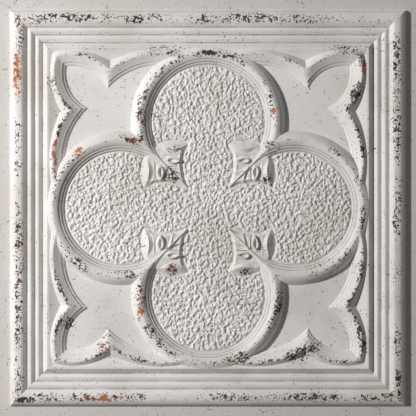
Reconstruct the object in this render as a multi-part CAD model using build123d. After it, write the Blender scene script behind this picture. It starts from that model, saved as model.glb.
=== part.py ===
from build123d import *
from math import atan2, cos, degrees, hypot, radians, sin
import os

# A pressed sheet steel ceiling tile, lying flat with its decorated face up.
# Millimetres. The origin is the middle of the underside, and the flat ground lies on Z = 0.
# Heights of the relief are measured from the upper face of the flat ground.
# Everything repeats four times about Z, and each quarter is its own mirror image.
os.makedirs("parts", exist_ok=True)

# Sheet, border and relief
SHEET = 0.5             # thickness of the sheet with its paint
FLANGE = 17.5           # flat border outside the frame moulding
FRAME_HALF = 284.0      # tile centre to the outer foot of the frame moulding
RELIEF = 11.5           # height of every crest

# Frame moulding, from its outer foot inwards
ROLL_QUARTER = 11.6     # width of the outer quarter round
ROLL_STEPS = 5          # facets of the quarter round
ROLL_TOP = 4.4          # width of the roll's flat crest
SHOULDER = (2.6, 1.0)   # width and drop of the roll's inner shoulder
ROLL_FALL = 6.2         # width of the steep fall to the first reed
REED_FOOT = 6.0         # height at the foot of the fall
REED_PITCH = 11.0       # from one reed to the next
REED_DROP = 2.2         # each reed's foot lies this much lower
REED_RISE = 1.3         # reed crest above its outer foot
REED_OUT = 3.6          # width of a reed's outer face
REED_TOP = 2.0          # width of a reed's crest
REEDS = 2
RIDGE_RISE = 6.4        # width of the rise to the inner ridge
RIDGE_HEIGHT = 8.2
RIDGE_TOP = 1.8
RIDGE_FALL = 21.5       # width of the slope inside the ridge, down to the ground

# Curved mouldings of the rings and of the cusped corners
STEP_PITCH = 3.9        # width of each small step on the inner face
STEP_HEIGHT = 3.2       # height of each small step
STEP_TREAD = 1.5        # width of its nearly flat tread
TREAD_RISE = 0.3
FACE_IN = 15.5          # width of the inner face
CREST = 2.6             # width of the crest
FACE_OUT = 11.4         # width of the outer face

# Lobe rings
LOBE_RADIUS = 81.5      # inner foot of a ring
RING_SHOULDER_IN = (5.2, 2.1)   # width and drop of the soft shoulder from the crest to the steps
RING_SHOULDER_OUT = (6.4, 2.9)  # and of the one from the crest to the steep outer face
LOBE_GAP = 4.9          # ring crest to the frame's inner ridge
STEM_END = 87.5         # tile centre to the end of the stem's crest, along the diagonal

# Cusped corners, measured in from the frame's inner ridge
CORNER_INSET = 25.5     # to the pointed corner of the spandrel ground
CUSP_INSET_NEAR = 57.0  # to the cusp's point, from the ridge beside it
CUSP_INSET_FAR = 85.2   # to the cusp's point, from the ridge round the corner
CORNER_ARC = 57.0       # radius of the ground's edge beside the corner
FLANK_ARC = 103.5       # radius of the ground's edge beside the ring
FLANK_END = 43.3        # degrees round the ring where that edge meets it

# Leaf on each inner cusp. Points are given for one half, and the other half is its mirror image
LEAF_TIP = 28.0         # the tip, the same distance along X and Y
LEAF_WAIST = (62.0, 37.0)
WING_TIP = (92.5, 28.5)
WING_ROOT = (90.7, 75.9)
WING_OUTER_ARC = 53.0   # radius of a wing's outer edge
WING_INNER_ARC = 24.0   # radius of its valley beside the eye
WING_OUTER_SLOPE = 0.64 # climb per millimetre up to the crease
WING_INNER_SLOPE = 0.6
WING_SIDES = 24         # facets of a full turn of a wing's faces
BLADE_HEIGHT = 4.0      # the low plate that carries the leaf's forms
BLADE_FLANK = 4.4       # width of the plate's sloping edge
PLATE_SHORTER = 1.6     # the plate stops this far short of a wing's two ends
RIB_HEIGHT = 8.6        # midrib where it leaves the stem
RIB_WIDTH = 7.0
VEIN_WIDTH = 4.4
VEIN_HEIGHT = 7.2
VEINS = (((60.0, 58.0), (61.0, 39.0)), ((54.5, 55.0), (50.0, 36.5)))
EYE_POINT = (67.4, 38.3)
EYE_HEAD = (68.6, 61.0)
EYE_HALF_WIDTH = 5.2
EYE_HEIGHT = 8.2
EYE_LEAN = 1.0          # how far the eye's sides lean in
EYE_RIM = 1.5           # width of the raised rim round the hollow
EYE_DEPTH = 3.6
BOW_SIDES = 4           # straight stretches along each bowed edge of the leaf and its eyes

RIDGE_HALF = (FRAME_HALF - ROLL_QUARTER - ROLL_TOP - SHOULDER[0] - ROLL_FALL
              - REEDS * REED_PITCH - RIDGE_RISE - RIDGE_TOP)
CREST_RADIUS = LOBE_RADIUS + FACE_IN + CREST
LOBE_OFFSET = RIDGE_HALF - LOBE_GAP - CREST_RADIUS
TILE_SIDE = 2 * (FRAME_HALF + FLANGE)
REACH = TILE_SIDE       # length of the trimming shapes, which run past the tile's corners
DIAGONAL = Plane(origin=(0, 0, 0), z_dir=(1, -1, 0))


def frame_line():
    """Height of the frame moulding against distance from the tile's centre, from inside to outside."""
    across = FRAME_HALF
    line = [(across, 0)]
    for step in range(1, ROLL_STEPS + 1):
        turn = radians(90 * step / ROLL_STEPS)
        line.append((across - ROLL_QUARTER * (1 - cos(turn)), RELIEF * sin(turn)))
    across -= ROLL_QUARTER + ROLL_TOP
    line.append((across, RELIEF))
    line.append((across - SHOULDER[0], RELIEF - SHOULDER[1]))
    across -= SHOULDER[0] + ROLL_FALL
    foot = REED_FOOT
    line.append((across, foot))
    for reed in range(REEDS):
        line.append((across - REED_OUT, foot + REED_RISE))
        line.append((across - REED_OUT - REED_TOP, foot + REED_RISE))
        across -= REED_PITCH
        foot -= REED_DROP
        line.append((across, foot))
    across -= RIDGE_RISE
    line.append((across, RIDGE_HEIGHT))
    line.append((across - RIDGE_TOP, RIDGE_HEIGHT))
    line.append((across - RIDGE_TOP - RIDGE_FALL, 0))
    return line[::-1]


def stepped_face(foot):
    """Inner face that climbs outwards from the ground to the crest, with two small steps at its foot."""
    line = [(foot, 0)]
    for step in (1, 2):
        edge = foot + step * STEP_PITCH
        line.append((edge - STEP_TREAD, step * STEP_HEIGHT - TREAD_RISE))
        line.append((edge, step * STEP_HEIGHT))
    line.append((foot + FACE_IN, RELIEF))
    return line


def plain_face(foot):
    """The same face as the underside has it, with its steps ironed out."""
    return [(foot, 0), (foot + FACE_IN, RELIEF)]


def falling_face(edge):
    """Outer face that falls from the crest's outer edge to the ground."""
    return [(edge, RELIEF), (edge + FACE_OUT, 0)]


def crossing(first, second):
    """The point where two lines meet, each given by two of its points."""
    (ax, ay), (bx, by) = first
    (cx, cy), (dx, dy) = second
    turn = (bx - ax) * (dy - cy) - (by - ay) * (dx - cx)
    share = ((cx - ax) * (dy - cy) - (cy - ay) * (dx - cx)) / turn
    return (ax + share * (bx - ax), ay + share * (by - ay))


def under(line):
    """The inner corners of a line, moved one sheet thickness square to each of its stretches."""
    moved = []
    for (ax, ay), (bx, by) in zip(line, line[1:]):
        length = hypot(bx - ax, by - ay)
        right = (by - ay) / length * SHEET
        up = (ax - bx) / length * SHEET
        moved.append(((ax + right, ay + up), (bx + right, by + up)))
    return [crossing(one, two) for one, two in zip(moved, moved[1:])]


def section(line, hollow):
    """Cross-section under a line, in the XZ plane: the metal's upper form, or the hollow below it."""
    if hollow:
        first, last = line[0], line[-1]
        before = (first[0], 0) if first[1] else (first[0] - SHEET, 0)
        line = under([before] + line + [(last[0] + SHEET, last[1])])
    bottom = -SHEET if hollow else SHEET / 2
    points = [(x, 0, z + SHEET) for x, z in line]
    points = [(points[0][0], 0, bottom)] + points + [(points[-1][0], 0, bottom)]
    return make_face(Polyline(*points, close=True))


def turned(line, centre, hollow):
    """A moulding turned about an upright axis at centre."""
    return Pos(centre[0], centre[1], 0) * revolve(section(line, hollow), Axis.Z)


def arc_centre(start, end, radius):
    """Centre of the arc of this radius through two points, on the left of the way from start to end."""
    dx, dy = end[0] - start[0], end[1] - start[1]
    chord = hypot(dx, dy)
    rise = (radius ** 2 - chord ** 2 / 4) ** 0.5
    return ((start[0] + end[0]) / 2 - dy / chord * rise, (start[1] + end[1]) / 2 + dx / chord * rise)


def frame_side(hollow):
    """One side of the square frame, run past both corners."""
    return extrude(section(frame_line(), hollow), amount=REACH, both=True)


def lobe_ring(hollow):
    """The ring round one lobe."""
    width, drop = RING_SHOULDER_OUT
    crest, foot = falling_face(CREST_RADIUS)
    shoulder = (CREST_RADIUS + width, RELIEF - drop)
    if hollow:
        line = plain_face(LOBE_RADIUS) + [shoulder, foot]
    else:
        width, drop = RING_SHOULDER_IN
        line = stepped_face(LOBE_RADIUS) + [crest, shoulder, foot]
        line.insert(-4, (LOBE_RADIUS + FACE_IN - width, RELIEF - drop))
    return turned(line, (LOBE_OFFSET, 0), hollow)


def climb_past(line):
    """The inner face of a cusp moulding, carried on upwards past the crest."""
    (ax, ay), (bx, by) = line[-2], line[-1]
    share = REACH / (bx - ax)
    return line[:-1] + [(ax + REACH, ay + share * (by - ay))]


def cusp_moulding(hollow):
    """The moulding down one side of a corner, from its diagonal to the ring, with its cusp."""
    corner = (RIDGE_HALF - CORNER_INSET, RIDGE_HALF - CORNER_INSET)
    cusp = (RIDGE_HALF - CUSP_INSET_NEAR, RIDGE_HALF - CUSP_INSET_FAR)
    ring_foot = CREST_RADIUS + FACE_OUT
    turn = radians(FLANK_END)
    end = (LOBE_OFFSET + ring_foot * cos(turn), ring_foot * sin(turn))
    arcs = [
        (arc_centre(cusp, corner, CORNER_ARC), CORNER_ARC),
        (arc_centre(end, cusp, FLANK_ARC), FLANK_ARC),
    ]
    inside = plain_face if hollow else stepped_face
    rising = [turned(climb_past(inside(radius)), centre, hollow) for centre, radius in arcs]
    falling = []
    for centre, radius in arcs:
        edge = radius + FACE_IN + CREST
        falling.append(turned([(0, RELIEF)] + falling_face(edge), centre, hollow))
    inside_ring = Pos(LOBE_OFFSET, 0, 0) * Cylinder(CREST_RADIUS - CREST / 2, 4 * RELIEF)
    return (rising[0] & rising[1]) & (falling[0] + falling[1]) - inside_ring


def wedge(low, high):
    """The part of space between two bearings, for trimming mouldings at their mitres."""
    corners = [(0, 0)]
    for bearing in (low, high):
        corners.append((REACH * cos(radians(bearing)), REACH * sin(radians(bearing))))
    outline = make_face(Polyline(*corners, close=True))
    return Pos(0, 0, -RELIEF) * extrude(outline, amount=4 * RELIEF)


def stem_core(hollow):
    """What the rings lose in the tile's middle, so that each stem slopes down into its leaf."""
    foot = STEM_END - RELIEF
    if hollow:
        foot += 2 * SHEET
    outline = Rot(0, 0, 45) * Rectangle(2 * foot, 2 * foot)
    return Pos(0, 0, -SHEET) * extrude(outline, amount=3 * RELIEF, taper=-45)


def mirrored(point):
    """The same point on the other half of a leaf."""
    return (point[1], point[0])


def moved_in(point, target, distance):
    """A point moved towards another one."""
    dx, dy = target[0] - point[0], target[1] - point[1]
    share = distance / hypot(dx, dy)
    return (point[0] + share * dx, point[1] + share * dy)


def bowed(start, middle, end):
    """Points along a bow through three points, with its start and without its end."""
    points = []
    for side in range(BOW_SIDES):
        t = side / BOW_SIDES
        first, second, third = (1 - t) * (1 - 2 * t), 4 * t * (1 - t), t * (2 * t - 1)
        x, y = (first * a + second * b + third * c for a, b, c in zip(start, middle, end))
        points.append((x, y))
    return points


def leaf_outline():
    """Outline of the leaf's plate on the ground, without the bulges of its two wings."""
    tip = (LEAF_TIP, LEAF_TIP)
    low = moved_in(WING_TIP, WING_ROOT, PLATE_SHORTER)
    high = moved_in(WING_ROOT, WING_TIP, PLATE_SHORTER)
    points = bowed(tip, LEAF_WAIST, low) + [low, high, mirrored(high)]
    points += bowed(mirrored(low), mirrored(LEAF_WAIST), tip)
    return make_face(Polyline(*points, close=True))


def leaning(outline, height, lean):
    """A solid on an outline, whose sides lean inwards on their way up."""
    return extrude(outline, amount=height, taper=degrees(atan2(lean, height)))


def bar(start, end, width, height, low):
    """A ridge with a three-cornered section that fades towards its end."""
    run = Vector(end[0] - start[0], end[1] - start[1], 0)
    sections = []
    for point, share, top in ((start, 1.0, height), (end, 0.5, low)):
        plane = Plane(origin=(point[0], point[1], SHEET), x_dir=Vector(0, 0, 1).cross(run), z_dir=run)
        half = share * width / 2
        sections.append(plane * make_face(Polyline((-half, 0), (0, top), (half, 0), close=True)))
    return loft(sections, ruled=True)


def wing():
    """One wing, which climbs from its outer edge to a crease and falls to a valley beside the eye."""
    outer = arc_centre(WING_TIP, WING_ROOT, WING_OUTER_ARC)
    inner = arc_centre(WING_ROOT, WING_TIP, WING_INNER_ARC)
    faces = []
    for centre, radius, slope in (
        (outer, WING_OUTER_ARC, WING_OUTER_SLOPE),
        (inner, WING_INNER_ARC, WING_INNER_SLOPE),
    ):
        outline = Pos(centre[0], centre[1], SHEET) * RegularPolygon(radius, WING_SIDES)
        faces.append(leaning(outline, RELIEF, RELIEF / slope))
    return faces[0] & faces[1]


def drop(inset):
    """Outline of the drop-shaped eye, or of the hollow inside its rim."""
    point = moved_in(EYE_POINT, EYE_HEAD, 2 * inset)
    head = moved_in(EYE_HEAD, EYE_POINT, inset)
    across, middle = moved_in(EYE_HEAD, EYE_POINT, 0.4 * (EYE_HEAD[1] - EYE_POINT[1]))
    half = EYE_HALF_WIDTH - inset
    right, left = (across + half, middle), (across - half, middle)
    return make_face(Polyline(*bowed(point, right, head), *bowed(head, left, point), close=True))


def eye_hollow():
    """The hollow that is sunk into an eye."""
    top = Plane(origin=(0, 0, SHEET + EYE_HEIGHT), x_dir=(1, 0, 0), z_dir=(0, 0, -1))
    outline = top * mirror(drop(EYE_LEAN + EYE_RIM), about=Plane.XZ)
    return leaning(outline, EYE_DEPTH, EYE_LEAN)


def leaf(hollow):
    """The leaf at the end of one stem."""
    plate = leaning(leaf_outline(), BLADE_HEIGHT, BLADE_FLANK)
    if hollow:
        inner = offset(leaf_outline(), -2 * SHEET)
        return Pos(0, 0, -SHEET) * leaning(inner, BLADE_HEIGHT, BLADE_FLANK)
    plate = Pos(0, 0, SHEET) * plate
    stem = (STEM_END - RELIEF / 2) / 2 ** 0.5
    plate += bar((stem, stem), (LEAF_TIP + 3, LEAF_TIP + 3), RIB_WIDTH, RIB_HEIGHT, BLADE_HEIGHT)
    half = wing() + Pos(0, 0, SHEET) * leaning(drop(0), EYE_HEIGHT, EYE_LEAN)
    for start, end in VEINS:
        half += bar(start, end, VEIN_WIDTH, VEIN_HEIGHT, BLADE_HEIGHT)
    sunk = eye_hollow()
    plate = plate + half + mirror(half, about=DIAGONAL)
    return plate - sunk - mirror(sunk, about=DIAGONAL)


def four_times(piece):
    """A piece and its three copies round the tile."""
    return [Rot(0, 0, 90 * quarter) * piece for quarter in range(4)]


def relief(hollow):
    """All that stands up from the flat ground, or the hollow that it leaves underneath."""
    moulding = cusp_moulding(hollow) & wedge(0, 45)
    side = (frame_side(hollow) + lobe_ring(hollow)) & wedge(-45, 45)
    side = side + moulding + mirror(moulding, about=Plane.XZ)
    sides = four_times(side - stem_core(hollow))
    leaves = four_times(leaf(hollow))
    return sides[0] + sides[1:] + leaves


def ceiling_tile():
    """The whole tile: a flat sheet with the relief pressed up out of it."""
    sheet = Pos(0, 0, SHEET / 2) * Box(TILE_SIDE, TILE_SIDE, SHEET)
    return sheet + relief(False) - relief(True)


export_step(ceiling_tile(), "parts/ceiling_tile.step")
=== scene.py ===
from math import cos, exp, radians, sin, tanh

import bmesh
import bpy
from bpy.props import FloatProperty, FloatVectorProperty, PointerProperty
from mathutils import Matrix, Vector, noise
from mathutils.bvhtree import BVHTree
from mathutils.kdtree import KDTree


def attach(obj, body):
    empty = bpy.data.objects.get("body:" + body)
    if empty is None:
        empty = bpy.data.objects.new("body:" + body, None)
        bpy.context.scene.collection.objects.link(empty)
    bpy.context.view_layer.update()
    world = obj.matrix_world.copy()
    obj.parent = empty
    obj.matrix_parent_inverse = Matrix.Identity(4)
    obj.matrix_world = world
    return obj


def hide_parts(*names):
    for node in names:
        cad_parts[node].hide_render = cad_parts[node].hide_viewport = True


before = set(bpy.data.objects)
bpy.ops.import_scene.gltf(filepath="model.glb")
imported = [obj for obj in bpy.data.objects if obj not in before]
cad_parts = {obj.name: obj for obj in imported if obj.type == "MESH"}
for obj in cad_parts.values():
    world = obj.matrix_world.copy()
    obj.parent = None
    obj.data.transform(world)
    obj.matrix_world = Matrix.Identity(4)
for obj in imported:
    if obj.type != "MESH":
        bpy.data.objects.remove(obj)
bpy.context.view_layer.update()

bl_info = {
    "name": "Pressed ceiling tile",
    "version": (1, 0, 0),
    "blender": (4, 5, 0),
    "location": "3D View > Sidebar > Ceiling Tile",
    "description": "A pressed sheet steel ceiling tile with a stippled field and chipped white paint",
    "category": "Object",
}

MM = 0.001
NODE = "ceiling_tile"
SHEET = 0.5 * MM            # thickness of the sheet, which is the height of its flat ground
RELIEF = 11.5 * MM          # crests above that ground

# The four lobes of the stippled field
LOBE_OFFSET = 124.5 * MM    # tile centre to a lobe's centre
LOBE_RADIUS = 81.5 * MM
FIELD_MIDDLE = 84.0 * MM    # half side of the square between the four leaves
FIELD_HALF = LOBE_OFFSET + LOBE_RADIUS
MITRE_START = 225.0 * MM    # where the frame's mitres start, along X
FRAME_HALF = 284.0 * MM     # tile centre to the outer foot of the frame
# The grooves below are darkened in the paint with dust and painted shade
FRAME_GROOVES = (259.6 * MM, 248.6 * MM, 237.6 * MM)    # tile centre to each groove of the frame
RING_GROOVES = (82.0 * MM, 85.8 * MM, 89.7 * MM)        # lobe's centre to each groove of its ring
FLOOR_GAP = 0.05 * MM       # the floor lies this far below the sheet, so that no two faces coincide
NOISE_SEED = 3              # any whole number but 0, which would make the bumps differ from run to run
UPWARD = 0.01               # a face belongs to the decorated side if its normal's Z is more than this
CREASE_ANGLE = radians(30)  # an edge is shaded sharp from this angle on
SOFT_ANGLE = radians(52)    # and from this one where the sheet is drawn round: on crests and leaves

LEAF_REACH = (26.5 * MM, 94.0 * MM)     # from the leaf's tip to its wings' outer edge
# RING_FADE: the width over which the dust and painted shade in the rings' grooves die away towards the
# leaves
RING_FADE = 14.0 * MM       # the rings' grooves fade out over this width towards the leaves
STROKE_POINTS = 25          # points that stand for a stroke's middle line

# Carving on one half of a leaf: a stroke bends through three points, given as the larger and the smaller
# distance from the tile's middle lines, and it is this wide and this high, or deep. Millimetres
CARVING = (
    ("rim along the waist", (34, 31.5), (62, 41.5), (82, 36), 1.3, 1.0),
    ("groove beside the midrib", (56, 52.5), (46, 43.5), (37, 33.5), 1.0, -1.1),
    ("groove beside the first vein", (58.5, 55), (55.5, 47), (55, 39.5), 1.0, -1.1),
    ("groove before the eye", (62.5, 62), (60.9, 50), (63.8, 39.5), 0.9, -1.2),
    ("groove behind the eye", (74.8, 62), (75.2, 50), (71, 39.5), 0.9, -1.2),
    ("near rim of the eye", (66.8, 38.8), (63.3, 51), (67.8, 62), 1.0, 0.9),
    ("far rim of the eye", (68, 38.8), (72.8, 51), (69.3, 62), 1.0, 0.9),
    ("rim beside the eye", (78.5, 66), (77.2, 52), (79.5, 39), 1.0, 0.9),
    ("crease of the wing", (88, 71), (84.9, 52), (88.5, 33), 1.0, 0.7),
)

# Places where the paint has worn off: name, middle (X, Y) and half size (X, Y) in millimetres,
# turn in degrees, how bare it is from 0 to 1, and how much of that is copper-coloured rust
WEAR_PLACES = (
    ("left roll, upper", (-273, 193), (8, 46), 0, 0.95, 0.9),
    ("left roll, middle", (-273, 77), (7, 66), 0, 0.55, 0.2),
    ("left roll, lower", (-271, -84), (8, 46), 0, 0.75, 0.3),
    ("left roll, foot", (-272, -205), (7, 40), 0, 0.5, 0.2),
    ("top roll, left", (-201, 273), (60, 9), 0, 0.85, 0.1),
    ("top roll, left of middle", (-77, 273), (36, 8), 0, 0.8, 0.0),
    ("top roll, right of middle", (58, 273), (52, 9), 0, 0.9, 0.0),
    ("top left corner", (-262, 269), (10, 8), 0, 0.7, 0.5),
    ("bottom roll, left", (-161, -272), (52, 7), 0, 0.9, 0.3),
    ("bottom roll, bare", (-142, -272), (26, 6), 0, 1.0, 0.45),
    ("bottom left corner", (-263, -275), (20, 6), 0, 1.0, 0.0),
    ("bottom roll, middle", (60, -272), (24, 6), 0, 0.7, 0.0),
    ("bottom roll, right", (237, -272), (42, 6), 0, 0.65, 0.0),
    ("right roll, upper", (272, 214), (6, 14), 0, 0.7, 0.0),
    ("right roll, middle", (272, 95), (6, 38), 0, 0.85, 0.0),
    ("right roll, lower", (272, -194), (6, 26), 0, 0.9, 0.2),
    ("right roll, foot", (273, -243), (6, 17), 0, 1.0, 0.0),
    ("left ring, top left", (-186, 83), (9, 6), 35, 0.8, 0.8),
    ("left ring, strip", (-111, 97), (20, 5), -20, 1.0, 0.35),
    ("left ring, lower left", (-184, -81), (26, 8), -35, 0.9, 0.1),
    ("left ring, bottom", (-122, -95), (28, 7), -5, 0.8, 0.0),
    ("top ring, left", (-95, 138), (6, 32), 10, 0.9, 0.25),
    ("top ring, right", (92, 145), (7, 34), 10, 0.8, 0.2),
    ("top ring, rust", (94, 141), (4, 9), 8, 1.0, 1.0),
    ("right ring, junction", (89, 91), (9, 6), 40, 0.9, 0.0),
    ("right ring, bottom", (164, -90), (48, 18), 15, 0.5, 0.0),
    ("bottom ring, left", (-95, -142), (6, 26), -8, 1.0, 0.9),
    ("bottom ring, lower left", (-83, -176), (8, 18), 30, 0.9, 0.2),
    ("bottom ring, right", (100, -143), (8, 32), -12, 0.9, 0.1),
    ("bottom ring, lower", (47, -217), (16, 8), 20, 0.9, 0.1),
    ("upper left cusps, side", (-224, 178), (8, 22), 20, 0.7, 0.1),
    ("left cusps, rust", (-220, 71), (5, 36), 0, 0.8, 0.7),
    ("lower left cusps", (-204, -163), (14, 14), 35, 0.9, 0.3),
    ("lower left cusps, foot", (-149, -199), (13, 10), 35, 0.75, 0.4),
    ("upper right cusps", (212, 165), (9, 22), -20, 1.0, 0.15),
    ("upper right cusps, rust", (223, 203), (6, 14), 0, 0.9, 0.8),
    ("lower right cusps, foot", (134, -207), (36, 13), 20, 0.85, 0.1),
    ("lower right cusps", (220, -185), (7, 26), 15, 0.85, 0.1),
    ("upper edge, left", (-60, 227), (40, 10), 0, 0.6, 0.3),
    ("upper edge, right", (205, 227), (34, 10), 0, 0.7, 0.0),
    ("upper left leaf", (-52, 46), (13, 16), 35, 0.75, 0.15),
    ("upper left leaf, wing", (-48, 84), (14, 8), 0, 0.7, 0.1),
    ("upper right leaf", (84, 38), (13, 11), 0, 0.8, 0.0),
    ("lower left leaf, rust", (-94, -54), (5, 4), 0, 0.9, 1.0),
    ("lower left leaf, wing", (-52, -89), (9, 11), 0, 0.9, 0.3),
    ("lower right leaf, wing", (55, -92), (14, 9), 0, 0.8, 0.0),
    ("right lobe, faint", (120, 25), (52, 40), 0, 0.25, 0.0),
)


def linear(code):
    """A colour's sRGB hex code as the linear colour that shaders use."""
    shares = [int(code[place:place + 2], 16) / 255 for place in (1, 3, 5)]
    return tuple(s / 12.92 if s <= 0.04045 else ((s + 0.055) / 1.055) ** 2.4 for s in shares)


class StippleSettings(bpy.types.PropertyGroup):
    """The stippled ground inside the four lobes."""

    spacing: FloatProperty(
        name="Mesh spacing", description="Distance between neighbouring points of the stippled ground",
        default=1.12 * MM, min=0.8 * MM, unit="LENGTH")
    height: FloatProperty(
        name="Height", description="How far the tallest bump stands above the flat ground",
        default=2.8 * MM, unit="LENGTH")
    bump_size: FloatProperty(
        name="Bump size", description="Distance from one bump to the next",
        default=4.8 * MM, min=1 * MM, unit="LENGTH")
    grain_size: FloatProperty(
        name="Grain size", description="Size of the small lumps on the bumps",
        default=2.2 * MM, min=0.5 * MM, unit="LENGTH")
    fade: FloatProperty(
        name="Fade", description="Width over which the bumps die away towards the edge of the ground",
        default=2.2 * MM, min=0.5 * MM, unit="LENGTH")
    carving_step: FloatProperty(
        name="Carving mesh", description="Longest edge in the mesh of the carved leaves",
        default=1.5 * MM, min=0.8 * MM, unit="LENGTH")


class PaintSettings(bpy.types.PropertyGroup):
    """The paint, and what shows where it has come off."""

    paint: FloatVectorProperty(
        name="Paint", description="Old white paint", subtype="COLOR", size=3, default=linear("#ECE9E7"))
    shade: FloatVectorProperty(
        name="Shaded paint", description="Paint where it has yellowed and gathered dust",
        subtype="COLOR", size=3, default=linear("#DDD7D0"))
    chip: FloatVectorProperty(
        name="Bare steel", description="Dark oxide under the paint", subtype="COLOR", size=3,
        default=linear("#4A3A33"))
    rust: FloatVectorProperty(
        name="Rust", description="Fresh copper-coloured rust", subtype="COLOR", size=3,
        default=linear("#BE7350"))
    stain: FloatVectorProperty(
        name="Stain", description="Paint beside a chip", subtype="COLOR", size=3, default=linear("#A89C8C"))
    border: FloatVectorProperty(
        name="Border", description="Paint on the flat border outside the frame", subtype="COLOR", size=3,
        default=linear("#D0CBC5"))
    # Dark colour for dust and painted shade in the grooves of the frame and of the lobe rings
    dust_and_painted_shade: FloatVectorProperty(
        name="Dust and painted shade", description="Dust in the grooves of the frame and of the lobe rings",
        subtype="COLOR", size=3, default=linear("#6E675F"))
    tin: FloatVectorProperty(
        name="Tinned back", description="Dull tin on the back of the sheet", subtype="COLOR", size=3,
        default=linear("#9A9892"))
    dull_tin: FloatVectorProperty(
        name="Clouds on the back", description="The tin's darker clouds", subtype="COLOR", size=3,
        default=linear("#84827C"))
    bloom: FloatVectorProperty(
        name="Bloom on the back", description="Thin rust on the tin", subtype="COLOR", size=3,
        default=linear("#6E4A36"))


class StageSettings(bpy.types.PropertyGroup):
    """Camera, lights and floor."""

    seen_width: FloatProperty(
        name="Width in view", description="Width of the tile that the camera sees",
        default=598 * MM, unit="LENGTH")
    camera_height: FloatProperty(
        name="Camera height", description="Distance from the floor to the camera",
        default=4.0, unit="LENGTH")
    key_power: FloatProperty(
        name="Window light", description="Power of the light that rakes in from the left, in watts",
        default=51.0)
    key_size: FloatProperty(
        name="Window size", description="Side of the light that rakes in from the left",
        default=0.15, unit="LENGTH")
    key_distance: FloatProperty(
        name="Window distance", description="Distance of that light from the tile's middle",
        default=2.3, unit="LENGTH")
    key_elevation: FloatProperty(
        name="Window elevation", description="Height of that light above the floor, as an angle",
        default=radians(39), subtype="ANGLE")
    key_bearing: FloatProperty(
        name="Window bearing", description="Direction of that light, from the tile's right-hand side",
        default=radians(164), subtype="ANGLE")
    fill: FloatProperty(
        name="Room light", description="Strength of the even light from all round", default=0.11)
    floor: FloatVectorProperty(
        name="Floor", description="Colour of the plain floor", subtype="COLOR", size=3,
        default=linear("#E4E3E0"))


def add(tree, kind, inputs=None, **settings):
    """Adds a node with its settings. An input is a value, or the socket of another node."""
    node = tree.nodes.new(kind)
    for name, value in settings.items():
        setattr(node, name, value)
    for socket, value in (inputs or {}).items():
        if isinstance(value, bpy.types.NodeSocket):
            tree.links.new(value, node.inputs[socket])
        else:
            node.inputs[socket].default_value = value
    return node


# Sheet

def far_and_near(x, y):
    """The larger and the smaller of a point's distances from the tile's two middle lines."""
    return max(abs(x), abs(y)), min(abs(x), abs(y))


def in_field(x, y):
    """Whether a point lies inside the outline of the four lobes."""
    far, near = far_and_near(x, y)
    return far < FIELD_MIDDLE or (far - LOBE_OFFSET) ** 2 + near ** 2 < (LOBE_RADIUS + 1 * MM) ** 2


def on_ground(normal, place):
    """Whether a place on the sheet is part of the flat ground inside the lobes."""
    return normal.z > 0.999 and abs(place.z - SHEET) < 0.05 * MM and in_field(place.x, place.y)


def stipple_height(place, look):
    """Height of the stipple from 0 to 1: rounded lumps, pushed out of line, with smaller ones on them."""
    drift = 0.35 * look.bump_size * noise.noise_vector(place / (2.2 * look.bump_size))
    lump = noise.noise((place + drift) / look.bump_size)
    other = noise.noise((place - drift) / (0.62 * look.bump_size) + Vector((0, 0, 9.1)))
    grain = noise.noise(place / look.grain_size + Vector((0, 0, 5.3)))
    return 0.5 + 0.5 * tanh(2.2 * lump + 1.7 * other + 1.3 * grain)


def marks_along(edges, step):
    """A search tree of points along some edges."""
    marks = []
    for edge in edges:
        first, last = (vert.co for vert in edge.verts)
        pieces = max(1, round((last - first).length / step))
        marks += [first.lerp(last, piece / pieces) for piece in range(pieces)]
    tree = KDTree(len(marks))
    for index, mark in enumerate(marks):
        tree.insert(mark, index)
    tree.balance()
    return tree


def is_pinched(vert):
    """Whether a point of a grid has no face, or is one where two parts of its edge touch."""
    return not vert.link_faces or sum(edge.is_boundary for edge in vert.link_edges) > 2


def bumpy_grid(bm, look, surface, marks):
    """A fine grid with raised bumps that ends just short of the ground's edge. Returns its points."""
    segments = round(2 * FIELD_HALF / look.spacing)
    made = bmesh.ops.create_grid(
        bm, x_segments=segments, y_segments=segments, size=FIELD_HALF,
        matrix=Matrix.Translation((0, 0, SHEET)))
    outside = []
    for vert in made["verts"]:
        place, normal, _, _ = surface.ray_cast(vert.co + Vector((0, 0, RELIEF)), Vector((0, 0, -1)))
        away = marks.find(vert.co)[2]
        if place is None or not on_ground(normal, place) or away < 0.75 * look.spacing:
            outside.append(vert)
        else:
            rise = min(1, (away - 0.5 * look.spacing) / look.fade)
            vert.co.z += look.height * rise * stipple_height(vert.co, look)
    bmesh.ops.delete(bm, geom=outside, context="VERTS")
    grid = [vert for vert in made["verts"] if vert.is_valid]
    while True:
        pinched = [vert for vert in grid if is_pinched(vert)]
        if not pinched:
            return grid
        bmesh.ops.delete(bm, geom=pinched, context="VERTS")
        grid = [vert for vert in grid if vert.is_valid]


def stipple(bm, look):
    """Replaces the flat ground of the lobes by a bumpy grid, joined to the ground's edge by a narrow skirt.
    Returns the faces of both."""
    surface = BVHTree.FromBMesh(bm)
    ground = [face for face in bm.faces if on_ground(face.normal, face.calc_center_median())]
    bmesh.ops.delete(bm, geom=ground, context="FACES")
    rim = [edge for edge in bm.edges if edge.is_boundary]
    grid = bumpy_grid(bm, look, surface, marks_along(rim, look.spacing / 4))

    hem = [edge for edge in bm.edges if edge.is_boundary]
    bumps = {face for vert in grid for face in vert.link_faces}
    filled = bmesh.ops.triangle_fill(bm, use_beauty=True, edges=hem, normal=(0, 0, 1))
    skirt = [item for item in filled["geom"] if isinstance(item, bmesh.types.BMFace)]
    for face in skirt:
        if face.normal.z < 0:
            face.normal_flip()
    return bumps | set(skirt)


def on_mitre(edge):
    """Whether an edge is part of the mitre at a corner of the square frame."""
    return all(abs(abs(vert.co.x) - abs(vert.co.y)) < 0.1 * MM and abs(vert.co.x) > MITRE_START
               for vert in edge.verts)


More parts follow.
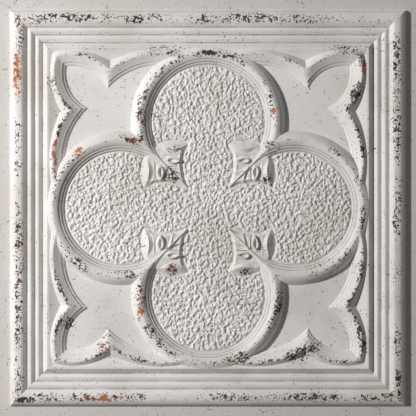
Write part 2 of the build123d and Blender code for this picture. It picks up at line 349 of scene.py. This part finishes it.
def bend(start, middle, end, share):
    """A point on a curve through three points."""
    first, second, third = (1 - share) * (1 - 2 * share), 4 * share * (1 - share), share * (2 * share - 1)
    return first * Vector(start) + second * Vector(middle) + third * Vector(end)


def carving_marks():
    """The strokes' middle lines as search trees of points, each with its width and height."""
    strokes = []
    for _, start, middle, end, width, height in CARVING:
        tree = KDTree(STROKE_POINTS)
        for index in range(STROKE_POINTS):
            share = index / (STROKE_POINTS - 1)
            tree.insert((*bend(start, middle, end, share) * MM, 0), index)
        tree.balance()
        strokes.append((tree, width * MM, height * MM))
    return strokes


def in_leaf(place):
    """Whether a place stands on the raised part of a leaf, inside its lobe's ring."""
    far, near = far_and_near(place.x, place.y)
    inside = (far - LOBE_OFFSET) ** 2 + near ** 2 < (LOBE_RADIUS + 3 * MM) ** 2
    return inside and near > LEAF_REACH[0] and far < LEAF_REACH[1] and place.z > SHEET + 0.2 * MM


def carve_leaves(bm, look):
    """Divides the leaves' upper faces finely, softens their creases and carves rims and grooves."""
    for _ in range(6):
        long = [edge for edge in bm.edges if edge.calc_length() > look.carving_step
                and in_leaf((edge.verts[0].co + edge.verts[1].co) / 2)
                and all(face.normal.z > UPWARD for face in edge.link_faces)]
        bmesh.ops.subdivide_edges(bm, edges=long, cuts=1)
        wide = {face for edge in long if edge.is_valid for face in edge.link_faces}
        bmesh.ops.triangulate(bm, faces=[face for face in bm.faces if face in wide or len(face.verts) > 4])
        bm.normal_update()
    raised = [vert for vert in bm.verts if in_leaf(vert.co) and vert.co.z > SHEET + 0.8 * MM
              and all(face.normal.z > UPWARD for face in vert.link_faces)]
    for _ in range(2):
        bmesh.ops.smooth_vert(bm, verts=raised, factor=0.5, use_axis_z=True)
    strokes = carving_marks()
    for vert in raised:
        far, near = far_and_near(vert.co.x, vert.co.y)
        foot = min(1, (vert.co.z - SHEET) / (3 * MM))
        for tree, width, height in strokes:
            away = tree.find((far, near, 0))[2]
            vert.co.z += foot * height * exp(-(away / width) ** 2)


def mend(bm):
    """Removes pairs of faces that lie back to back on the same corners, and turns all faces outwards."""
    twins = {}
    for face in bm.faces:
        twins.setdefault(frozenset(face.verts), []).append(face)
    folded = [face for faces in twins.values() if len(faces) > 1 for face in faces]
    bmesh.ops.delete(bm, geom=folded, context="FACES")
    bmesh.ops.recalc_face_normals(bm, faces=bm.faces)


def shade(bm, rough):
    """Gives each face its finish, and marks the edges that are shaded sharp."""
    for face in bm.faces:
        face.smooth = True
        if face in rough:
            face.material_index = 1
        elif face.normal.z < UPWARD:
            face.material_index = 2
        else:
            face.material_index = 0
    for edge in bm.edges:
        middle = (edge.verts[0].co + edge.verts[1].co) / 2
        soft = in_leaf(middle) or edge.is_convex and middle.z > SHEET + 0.6 * RELIEF
        limit = SOFT_ANGLE if soft else CREASE_ANGLE
        edge.smooth = edge.calc_face_angle(0) < limit and not on_mitre(edge)


def sheet_mesh(look):
    """The pressed sheet as one closed mesh: a merged copy of the CAD node, with its stippled ground."""
    bm = bmesh.new()
    bm.from_mesh(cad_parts[NODE].data)
    bmesh.ops.remove_doubles(bm, verts=bm.verts, dist=0.01 * MM)
    bmesh.ops.dissolve_limit(bm, angle_limit=radians(0.4), verts=bm.verts, edges=bm.edges)
    bm.normal_update()
    noise.seed_set(NOISE_SEED)
    carve_leaves(bm, look)
    rough = stipple(bm, look)
    mend(bm)
    bm.normal_update()
    shade(bm, rough)
    mesh = bpy.data.meshes.new("pressed_sheet")
    bm.to_mesh(mesh)
    bm.free()
    return mesh


# Finishes

def wear_field(tree, place):
    """Sockets for how bare each spot is and how much of that is rust, from the named places. Each place is
    an ellipse, and each of its half axes is a row of numbers that a point (X, Y, 1) is multiplied by."""
    across = add(tree, "ShaderNodeSeparateXYZ", {0: place}).outputs
    point = add(tree, "ShaderNodeCombineXYZ", {"X": across["X"], "Y": across["Y"], "Z": 1.0}).outputs[0]
    bare = rust = 0.0
    for name, middle, half, turn, amount, share in WEAR_PLACES:
        squares = 0.0
        for size, bearing in ((half[0], radians(turn)), (half[1], radians(turn + 90))):
            row = Vector((cos(bearing), sin(bearing), 0)) / (size * MM)
            row.z = -row.dot(Vector((*middle, 0)) * MM)
            product = add(
                tree, "ShaderNodeVectorMath", {0: point, 1: row}, operation="DOT_PRODUCT", label=name)
            away = product.outputs["Value"]
            squares = calc(tree, "MULTIPLY_ADD", away, away, squares)
        here = ramp(tree, squares, 0.1, 1.6, amount, 0.0)
        bare = calc(tree, "MAXIMUM", bare, here)
        if share:
            rust = calc(tree, "MAXIMUM", rust, calc(tree, "MULTIPLY", here, share))
    return bare, rust


def grain_noise(tree, place, size, detail=2.0, shift=(0, 0, 0)):
    """A noise whose lumps are about size across."""
    moved = add(tree, "ShaderNodeVectorMath", {0: place, 1: shift}, operation="ADD")
    return add(tree, "ShaderNodeTexNoise", {
        "Vector": moved.outputs[0], "Scale": 1 / size, "Detail": detail, "Roughness": 0.6,
    }).outputs["Fac"]


def ramp(tree, value, low, high, start=0.0, end=1.0, kind="SMOOTHSTEP"):
    """A value brought from the range low to high into the range start to end."""
    return add(tree, "ShaderNodeMapRange", {
        "Value": value, "From Min": low, "From Max": high, "To Min": start, "To Max": end,
    }, interpolation_type=kind).outputs[0]


def mixed(tree, share, first, second):
    """One colour mixed into another."""
    return add(tree, "ShaderNodeMix", {0: share, 6: first, 7: second}, data_type="RGBA").outputs[2]


def calc(tree, operation, *values):
    """The result of one sum."""
    inputs = dict(enumerate(values))
    return add(tree, "ShaderNodeMath", inputs, operation=operation).outputs[0]


def new_material(name):
    """An empty material with its output."""
    material = bpy.data.materials.new(name)
    material.use_nodes = True
    material.node_tree.nodes.clear()
    return material, material.node_tree


def nearest(tree, value, targets):
    """How far a value is from the nearest of some numbers."""
    away = 1.0
    for target in targets:
        here = calc(tree, "ABSOLUTE", calc(tree, "SUBTRACT", value, target))
        away = calc(tree, "MINIMUM", here, away)
    return away


def from_middle(tree, place):
    """Sockets for the larger and the smaller of a point's distances from the tile's two middle lines."""
    across = add(tree, "ShaderNodeSeparateXYZ", {0: place}).outputs
    x, y = calc(tree, "ABSOLUTE", across["X"]), calc(tree, "ABSOLUTE", across["Y"])
    return calc(tree, "MAXIMUM", x, y), calc(tree, "MINIMUM", x, y)


def dust_and_painted_shade(tree, place, far, near):
    """How much the grooves are darkened, by dust and by painted shade: of the frame, along its sides, and
    of the lobe rings.
    """
    sides = ramp(tree, nearest(tree, far, FRAME_GROOVES), 0.2 * MM, 1.7 * MM, 0.55, 0.0)
    along = calc(tree, "SUBTRACT", far, LOBE_OFFSET)
    square = calc(tree, "MULTIPLY_ADD", along, along, calc(tree, "MULTIPLY", near, near))
    radius = calc(tree, "SQRT", square)
    rings = ramp(tree, nearest(tree, radius, RING_GROOVES), 0.2 * MM, 1.2 * MM, 0.5, 0.0)
    rings = calc(tree, "MULTIPLY", rings, ramp(tree, far, LEAF_REACH[1] - RING_FADE, LEAF_REACH[1]))
    unevenness = ramp(tree, grain_noise(tree, place, 30 * MM, 3.0, (0.8, 0.1, 0)), 0.3, 0.6, 0.5, 1.0)
    return calc(tree, "MULTIPLY", calc(tree, "MAXIMUM", sides, rings), unevenness)


def flaking(tree, place, amount):
    """Sockets for where the paint has come off, as fine specks or broad flakes, and where it is stained."""
    specks = grain_noise(tree, place, 2.6 * MM, 2.0, (0.7, 0.2, 0))
    flakes = grain_noise(tree, place, 7 * MM, 5.0, (0.1, 0.9, 0))
    swarm = grain_noise(tree, place, 17 * MM, 1.0, (0.2, 0.4, 0))
    fine = calc(tree, "SUBTRACT", specks, ramp(tree, amount, 0.0, 0.8, 0.74, 0.545, "LINEAR"))
    fine = calc(tree, "MULTIPLY_ADD", swarm, 0.22, calc(tree, "SUBTRACT", fine, 0.11))
    ragged = calc(tree, "MULTIPLY_ADD", specks, 0.45, flakes)
    broad = calc(tree, "SUBTRACT", ragged, ramp(tree, amount, 0.35, 1.0, 0.98, 0.69, "LINEAR"))
    over = calc(tree, "MAXIMUM", fine, broad)
    return ramp(tree, over, 0.0, 0.012), ramp(tree, over, -0.035, 0.0)


def paint_tone(tree, place, colours, stained, on_stipple):
    """The paint's colour: yellowed in clouds, stained round the chips, and darkened in the frame's grooves
    by dust and painted shade.
    """
    dust = grain_noise(tree, place, 110 * MM, 3.0)
    tone = mixed(tree, ramp(tree, dust, 0.35, 0.7), (*colours.paint, 1), (*colours.shade, 1))
    tone = mixed(tree, calc(tree, "MULTIPLY", stained, 0.35), tone, (*colours.stain, 1))
    if not on_stipple:
        far, near = from_middle(tree, place)
        border = ramp(tree, far, FRAME_HALF, FRAME_HALF + 2 * MM, 0.0, 0.8)
        tone = mixed(tree, border, tone, (*colours.border, 1))
        # Painted shade, with dust: the grooves of the frame and of the lobe rings are darkened
        tone = mixed(tree, dust_and_painted_shade(tree, place, far, near), tone, (*colours.dust_and_painted_shade, 1))
    return tone


def painted_steel(name, colours, on_stipple):
    """Matt oil paint on pressed steel, brushed on thick: soft grey-white, dusty in places, darkened in the
    frame's grooves by dust and painted shade, and flaked off the crests down to dark oxide and some fresh
    rust. On the stipple it is rougher and has more specks."""
    material, tree = new_material(name)
    place = add(tree, "ShaderNodeTexCoord").outputs["Object"]
    height = add(tree, "ShaderNodeSeparateXYZ", {0: place}).outputs["Z"]

    bare, rust = wear_field(tree, place)
    crest = ramp(tree, height, SHEET + 0.75 * RELIEF, SHEET + RELIEF)
    clouds = grain_noise(tree, place, 60 * MM, 2.0, (0.3, 0.1, 0))
    everywhere = calc(tree, "MULTIPLY_ADD", crest, 0.40, 0.30 if on_stipple else 0.22)
    everywhere = calc(tree, "MULTIPLY", everywhere, ramp(tree, clouds, 0.3, 0.7, 0.4, 1.4))
    chipped, stained = flaking(tree, place, calc(tree, "MAXIMUM", bare, everywhere))

    tone = paint_tone(tree, place, colours, stained, on_stipple)
    patches = grain_noise(tree, place, 9 * MM, 2.0, (0.5, 0.5, 0))
    rusty = calc(tree, "MULTIPLY", ramp(tree, rust, 0.1, 0.5), ramp(tree, patches, 0.34, 0.46))
    under = mixed(tree, rusty, (*colours.chip, 1), (*colours.rust, 1))
    colour = mixed(tree, chipped, tone, under)

    peel = grain_noise(tree, place, 2.4 * MM, 2.0)
    rough = 0.5 * MM if on_stipple else 0.12 * MM
    depth = calc(tree, "MULTIPLY_ADD", chipped, -0.16 * MM, calc(tree, "MULTIPLY", peel, rough))
    bump = add(tree, "ShaderNodeBump", {"Strength": 1.0, "Distance": 1.0, "Height": depth})
    shader = add(tree, "ShaderNodeBsdfPrincipled", {
        "Base Color": colour,
        "Roughness": ramp(tree, chipped, 0.0, 1.0, 0.55, 0.8, "LINEAR"),
        "IOR": 1.5,
        "Specular IOR Level": 0.35,
        "Normal": bump.outputs[0],
    })
    add(tree, "ShaderNodeOutputMaterial", {"Surface": shader.outputs[0]})
    return material


def tinned_steel(colours):
    """Tin plate gone dull: a grey metal with a soft cloudy spangle and a bloom of thin rust."""
    material, tree = new_material("dull_tinned_steel")
    place = add(tree, "ShaderNodeTexCoord").outputs["Object"]
    cloud = grain_noise(tree, place, 45 * MM, 4.0)
    bloom = grain_noise(tree, place, 18 * MM, 5.0, (0.4, 0.6, 0))
    colour = mixed(tree, ramp(tree, cloud, 0.35, 0.65), (*colours.tin, 1), (*colours.dull_tin, 1))
    colour = mixed(tree, ramp(tree, bloom, 0.58, 0.7, 0.0, 0.8), colour, (*colours.bloom, 1))
    shader = add(tree, "ShaderNodeBsdfPrincipled", {
        "Base Color": colour,
        "Metallic": ramp(tree, bloom, 0.58, 0.68, 1.0, 0.1),
        "Roughness": ramp(tree, bloom, 0.4, 0.68, 0.42, 0.8),
    })
    add(tree, "ShaderNodeOutputMaterial", {"Surface": shader.outputs[0]})
    return material


class TILE_OT_sheet(bpy.types.Operator):
    """Makes the pressed sheet with its stippled ground and its paint"""

    bl_idname = "tile.sheet"
    bl_label = "Pressed Sheet"

    def execute(self, context):
        scene = context.scene
        mesh = sheet_mesh(scene.tile_stipple)
        mesh.materials.append(painted_steel("chipped_matt_paint", scene.tile_paint, False))
        mesh.materials.append(painted_steel("chipped_matt_paint_on_stipple", scene.tile_paint, True))
        mesh.materials.append(tinned_steel(scene.tile_paint))
        piece = bpy.data.objects.new("pressed_sheet", mesh)
        scene.collection.objects.link(piece)
        piece.modifiers.new("weighted_normals", "WEIGHTED_NORMAL").keep_sharp = True
        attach(piece, "root")
        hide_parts(NODE)
        return {"FINISHED"}


class TILE_OT_stage(bpy.types.Operator):
    """Makes the floor, the lights and the camera"""

    bl_idname = "tile.stage"
    bl_label = "Stage"

    def execute(self, context):
        scene = context.scene
        look = scene.tile_stage
        self.floor(scene, look)
        self.lights(scene, look)
        self.camera(scene, look)
        return {"FINISHED"}

    def floor(self, scene, look):
        """A plain pale floor under the tile."""
        bm = bmesh.new()
        bmesh.ops.create_grid(
            bm, x_segments=1, y_segments=1, size=6, matrix=Matrix.Translation((0, 0, -FLOOR_GAP)))
        mesh = bpy.data.meshes.new("floor")
        bm.to_mesh(mesh)
        bm.free()
        material, tree = new_material("plain_floor")
        shader = add(tree, "ShaderNodeBsdfPrincipled", {"Base Color": (*look.floor, 1), "Roughness": 0.9})
        add(tree, "ShaderNodeOutputMaterial", {"Surface": shader.outputs[0]})
        mesh.materials.append(material)
        floor = bpy.data.objects.new("floor", mesh)
        scene.collection.objects.link(floor)

    def lights(self, scene, look):
        """A soft light that rakes in from the left, and an even light from all round."""
        lamp = bpy.data.lights.new("window", "AREA")
        lamp.energy = look.key_power
        lamp.size = look.key_size
        window = bpy.data.objects.new("window", lamp)
        flat = look.key_distance * cos(look.key_elevation)
        rise = look.key_distance * sin(look.key_elevation)
        window.location = (flat * cos(look.key_bearing), flat * sin(look.key_bearing), rise)
        window.rotation_euler = (-window.location).to_track_quat("-Z", "Y").to_euler()
        scene.collection.objects.link(window)

        world = bpy.data.worlds.new("room")
        world.use_nodes = True
        tree = world.node_tree
        tree.nodes.clear()
        seen = add(tree, "ShaderNodeLightPath").outputs["Is Camera Ray"]
        strength = ramp(tree, seen, 0.0, 1.0, look.fill, 0.9, "LINEAR")
        light = add(tree, "ShaderNodeBackground", {"Color": (1, 1, 1, 1), "Strength": strength})
        add(tree, "ShaderNodeOutputWorld", {"Surface": light.outputs[0]})
        scene.world = world

    def camera(self, scene, look):
        """A long lens straight above the tile, whose picture its border overfills."""
        data = bpy.data.cameras.new("camera")
        data.lens = data.sensor_width * look.camera_height / look.seen_width
        data.clip_end = 50
        camera = bpy.data.objects.new("camera", data)
        camera.location = (0, 0, look.camera_height)
        scene.collection.objects.link(camera)
        scene.camera = camera
        scene.view_settings.view_transform = "Standard"


class TILE_PT_panel(bpy.types.Panel):
    """The tile's sizes, colours and steps"""

    bl_label = "Ceiling Tile"
    bl_space_type = "VIEW_3D"
    bl_region_type = "UI"
    bl_category = "Ceiling Tile"

    def draw(self, context):
        scene = context.scene
        for operator, settings in (("tile.sheet", (scene.tile_stipple, scene.tile_paint)),
                                   ("tile.stage", (scene.tile_stage,))):
            box = self.layout.box()
            box.operator(operator)
            for group in settings:
                for name in group.__annotations__:
                    box.prop(group, name)


CLASSES = (StippleSettings, PaintSettings, StageSettings, TILE_OT_sheet, TILE_OT_stage, TILE_PT_panel)


def register():
    for cls in CLASSES:
        bpy.utils.register_class(cls)
    bpy.types.Scene.tile_stipple = PointerProperty(type=StippleSettings)
    bpy.types.Scene.tile_paint = PointerProperty(type=PaintSettings)
    bpy.types.Scene.tile_stage = PointerProperty(type=StageSettings)


def unregister():
    del bpy.types.Scene.tile_stage
    del bpy.types.Scene.tile_paint
    del bpy.types.Scene.tile_stipple
    for cls in reversed(CLASSES):
        bpy.utils.unregister_class(cls)


def main():
    register()
    bpy.ops.tile.sheet()
    bpy.ops.tile.stage()


if __name__ == "__main__":
    main()
